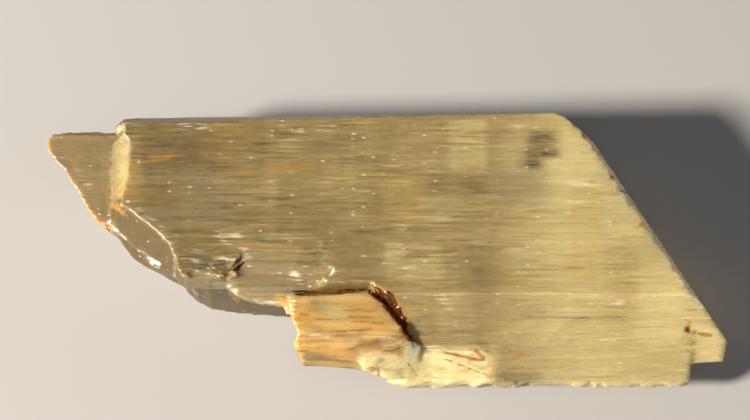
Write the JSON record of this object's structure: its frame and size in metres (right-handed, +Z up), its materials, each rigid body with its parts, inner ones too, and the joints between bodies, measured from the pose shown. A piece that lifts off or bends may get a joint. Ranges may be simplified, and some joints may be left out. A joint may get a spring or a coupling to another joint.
{
  "type": "spodumene crystal",
  "caption": "Flat striated yellow spodumene crystal with an oblique end, a broken thin tip and a small stained crystal along its front edge.",
  "frame": {"origin": "under the middle of the crystal's bounding box, on the surface it rests on", "axes": "+X along the striations towards the oblique end, +Y across the broad face towards the straight back edge, +Z up through the thickness"},
  "size_m": [0.061, 0.0242, 0.0116],
  "materials": {
    "spodumene": "glassy, finely striated, stained orange-brown in cracks"
  },
  "bodies": {
    "root": {"spodumene_crystal": "spodumene"}
  },
  "joints": []
}
